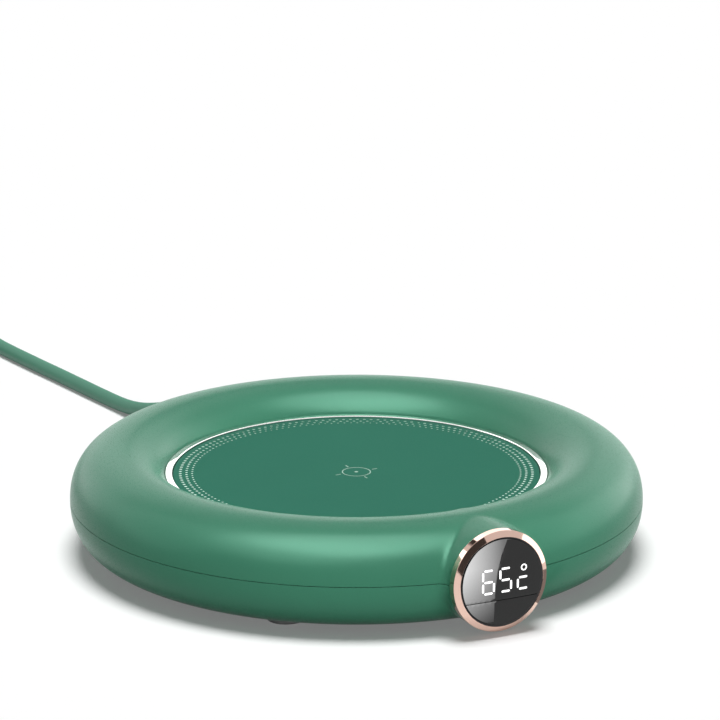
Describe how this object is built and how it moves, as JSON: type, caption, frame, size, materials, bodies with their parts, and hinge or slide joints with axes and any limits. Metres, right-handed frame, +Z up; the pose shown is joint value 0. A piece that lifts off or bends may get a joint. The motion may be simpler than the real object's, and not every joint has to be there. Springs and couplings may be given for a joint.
{
  "type": "electric mug warmer",
  "caption": "Ring-shaped electric mug warmer with a sunk heating plate, a round display pod with a push key, and a coiled USB lead.",
  "frame": {"origin": "on the table under the centre of the ring, at the bottom of the feet", "axes": "+Z up out of the heating plate, -Y towards the display pod, +Y towards the lead, +X to the right seen from the pod"},
  "size_m": [0.1491, 0.3263, 0.0262],
  "materials": {
    "body_green": "matte, moulded ABS",
    "plate_green": "satin coating on aluminium",
    "polished_chrome": "polished",
    "rose_gold": "polished plating",
    "gloss_black": "high gloss",
    "dark_plastic": "matte",
    "white_plastic": "satin",
    "black_resin": "glossy",
    "steel": "satin",
    "plated_steel": "satin plating",
    "contact_gold": "polished",
    "silicone": "matte",
    "rubber": "matte",
    "felt": "felt",
    "amber_film": "satin film",
    "board_green": "solder mask",
    "red_wire": "satin insulation",
    "cord_green": "matte jacket",
    "plug_green": "matte overmould"
  },
  "bodies": {
    "base": {"upper_shell": "body_green", "lower_shell": "body_green", "trim_ring": "polished_chrome", "heating_plate": "plate_green", "plate_gasket": "silicone", "heating_element": "amber_film", "insulation_disc": "felt", "heater_bracket": "steel", "bracket_screws": "steel", "sensor_holder": "silicone", "temperature_sensor": "black_resin", "thermal_fuse": "white_plastic", "control_board": "board_green", "board_components": "dark_plastic", "board_connectors": "white_plastic", "board_screws": "steel", "heater_leads": "red_wire", "supply_wires": "red_wire", "display_cable": "silicone", "display_board": "board_green", "digit_display": "white_plastic", "light_mask": "dark_plastic", "display_window": "gloss_black", "switch_body": "dark_plastic", "bezel_ring": "rose_gold", "housing_screws": "steel", "rubber_feet": "rubber", "strain_relief": "cord_green", "inner_cord": "cord_green", "cord_clamp": "dark_plastic", "clamp_screws": "steel", "power_cord": "cord_green", "cord_coil": "cord_green", "cord_ties": "dark_plastic", "plug_grip": "plug_green", "plug_shell": "plated_steel", "plug_tongue": "white_plastic", "plug_contacts": "contact_gold"},
    "key": {"mode_key": "gloss_black", "switch_plunger": "white_plastic"}
  },
  "joints": [
    {"name": "key_press", "type": "slide", "parent": "base", "child": "key", "axis": [0, 1, 0], "range_m": [0, 0.0005], "stiffness_N_per_m": 1500, "springref_m": -0.0004}
  ]
}
